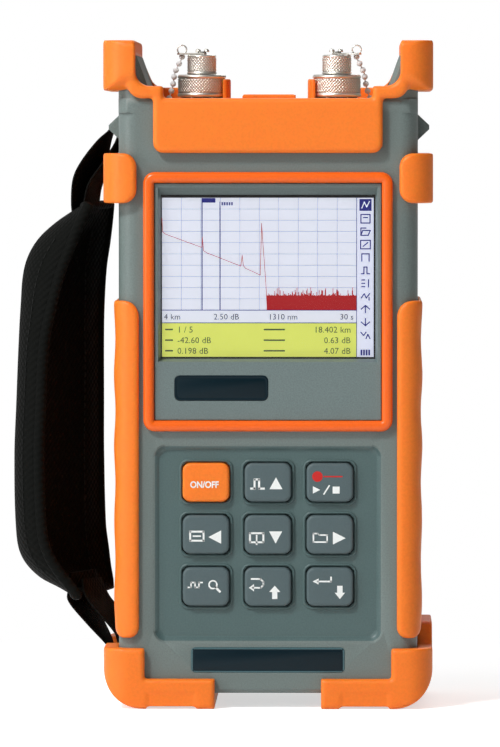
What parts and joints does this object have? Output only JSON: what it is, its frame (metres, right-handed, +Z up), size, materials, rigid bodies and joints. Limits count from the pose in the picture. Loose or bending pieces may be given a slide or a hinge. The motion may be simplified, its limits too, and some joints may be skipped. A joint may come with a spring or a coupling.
{
  "type": "optical time domain reflectometer",
  "caption": "Upright handheld fibre tester: two-shell case in rubber bumpers, sunken keypad, framed display, capped fibre ports on the deck, folding rear stand and padded side hand strap.",
  "frame": {"origin": "on the surface that the instrument stands on, under the middle of the case", "axes": "+X to the instrument's right as its user sees it, +Y from the display to the back, +Z up"},
  "size_m": [0.1378, 0.0701, 0.22],
  "materials": {
    "case_grey": "fine matte texture",
    "bumper_orange": "satin rubber",
    "ring_orange": "satin",
    "bezel_grey": "matte",
    "lens": "clear, polished",
    "screen": "lit liquid crystal display",
    "plate_teal": "satin label stock",
    "key_plastic": "matte",
    "seal_black": "matte",
    "nickel": "knurled nickel plate",
    "steel": "plain",
    "board": "solder resist",
    "shield_tin": "plain sheet",
    "gold_contact": "plated",
    "pack_wrap": "shrink wrap",
    "socket_black": "matte",
    "fibre_yellow": "smooth",
    "strap_black": "woven nylon over foam"
  },
  "bodies": {
    "instrument": {"front_shell": "case_grey", "rear_shell": "case_grey", "case_gasket": "seal_black", "screen_ring": "ring_orange", "screen_panel": "bezel_grey", "screen_lens": "lens", "lcd_module": "screen", "small_plate": "plate_teal", "large_plate": "plate_teal", "lcd_bracket": "steel", "keypad_mat": "seal_black", "key_switches": "steel", "keypad_board": "board", "top_bumper": "bumper_orange", "side_clip_right": "bumper_orange", "side_clip_left": "bumper_orange", "side_grip_right": "bumper_orange", "side_grip_left": "bumper_orange", "corner_bumper_right": "bumper_orange", "corner_bumper_left": "bumper_orange", "port_adapters": "nickel", "lock_nuts": "nickel", "back_nuts": "steel", "cap_chain_left": "steel", "cap_chain_right": "steel", "flap_strip": "bumper_orange", "usb_socket": "steel", "power_jack": "socket_black", "io_board": "board", "main_board": "board", "board_spacers": "steel", "measuring_module": "shield_tin", "fibre_pigtail": "fibre_yellow", "fault_laser": "shield_tin", "buzzer": "socket_black", "battery_pack": "pack_wrap", "battery_contacts": "gold_contact", "case_screws": "steel", "stand_pin": "steel", "strap_pad": "strap_black", "strap_webbing": "strap_black"},
    "key_power": {"key_power": "key_plastic"},
    "key_up": {"key_up": "key_plastic"},
    "key_run": {"key_run": "key_plastic"},
    "key_left": {"key_left": "key_plastic"},
    "key_down": {"key_down": "key_plastic"},
    "key_right": {"key_right": "key_plastic"},
    "key_shift": {"key_shift": "key_plastic"},
    "key_back": {"key_back": "key_plastic"},
    "key_enter": {"key_enter": "key_plastic"},
    "cap_swivel_left": {"cap_swivel_left": "steel"},
    "dust_cap_left": {"dust_cap_left": "nickel"},
    "cap_swivel_right": {"cap_swivel_right": "steel"},
    "dust_cap_right": {"dust_cap_right": "nickel"},
    "port_flap": {"port_flap": "bumper_orange"},
    "stand": {"stand": "case_grey"},
    "battery_door": {"battery_door": "case_grey", "door_screws": "steel"}
  },
  "joints": [
    {"name": "key_power_press", "type": "slide", "parent": "instrument", "child": "key_power", "axis": [0, 1, 0], "range_m": [0, 0.0011], "stiffness_N_per_m": 900, "springref_m": -0.0002},
    {"name": "key_up_press", "type": "slide", "parent": "instrument", "child": "key_up", "axis": [0, 1, 0], "range_m": [0, 0.0011], "stiffness_N_per_m": 900, "springref_m": -0.0002},
    {"name": "key_run_press", "type": "slide", "parent": "instrument", "child": "key_run", "axis": [0, 1, 0], "range_m": [0, 0.0011], "stiffness_N_per_m": 900, "springref_m": -0.0002},
    {"name": "key_left_press", "type": "slide", "parent": "instrument", "child": "key_left", "axis": [0, 1, 0], "range_m": [0, 0.0011], "stiffness_N_per_m": 900, "springref_m": -0.0002},
    {"name": "key_down_press", "type": "slide", "parent": "instrument", "child": "key_down", "axis": [0, 1, 0], "range_m": [0, 0.0011], "stiffness_N_per_m": 900, "springref_m": -0.0002},
    {"name": "key_right_press", "type": "slide", "parent": "instrument", "child": "key_right", "axis": [0, 1, 0], "range_m": [0, 0.0011], "stiffness_N_per_m": 900, "springref_m": -0.0002},
    {"name": "key_shift_press", "type": "slide", "parent": "instrument", "child": "key_shift", "axis": [0, 1, 0], "range_m": [0, 0.0011], "stiffness_N_per_m": 900, "springref_m": -0.0002},
    {"name": "key_back_press", "type": "slide", "parent": "instrument", "child": "key_back", "axis": [0, 1, 0], "range_m": [0, 0.0011], "stiffness_N_per_m": 900, "springref_m": -0.0002},
    {"name": "key_enter_press", "type": "slide", "parent": "instrument", "child": "key_enter", "axis": [0, 1, 0], "range_m": [0, 0.0011], "stiffness_N_per_m": 900, "springref_m": -0.0002},
    {"name": "cap_left_lift", "type": "slide", "parent": "instrument", "child": "cap_swivel_left", "axis": [0, 0, 1], "range_m": [0, 0.004], "deforming": ["cap_chain_left"]},
    {"name": "cap_left_turn", "type": "hinge", "parent": "cap_swivel_left", "child": "dust_cap_left", "pos_m": [-0.0225, 0, 0.2121], "axis": [0, 0, 1], "range_deg": [0, 1920]},
    {"name": "cap_right_lift", "type": "slide", "parent": "instrument", "child": "cap_swivel_right", "axis": [0, 0, 1], "range_m": [0, 0.004], "deforming": ["cap_chain_right"]},
    {"name": "cap_right_turn", "type": "hinge", "parent": "cap_swivel_right", "child": "dust_cap_right", "pos_m": [0.0225, 0, 0.2121], "axis": [0, 0, 1], "range_deg": [0, 1920]},
    {"name": "port_flap_hinge", "type": "hinge", "parent": "instrument", "child": "port_flap", "pos_m": [0, 0.00505, 0.20135], "axis": [-1, 0, 0], "range_deg": [0, 110]},
    {"name": "stand_hinge", "type": "hinge", "parent": "instrument", "child": "stand", "pos_m": [0, 0.0284, 0.171], "axis": [1, 0, 0], "range_deg": [0, 38]},
    {"name": "battery_door_lift", "type": "slide", "parent": "instrument", "child": "battery_door", "axis": [0, 1, 0], "range_m": [0, 0.03]}
  ],
  "couplings": [
    {"joint": "cap_left_turn", "follows": "cap_left_lift", "rad_per_m": 8377.5},
    {"joint": "cap_right_turn", "follows": "cap_right_lift", "rad_per_m": 8377.5}
  ]
}
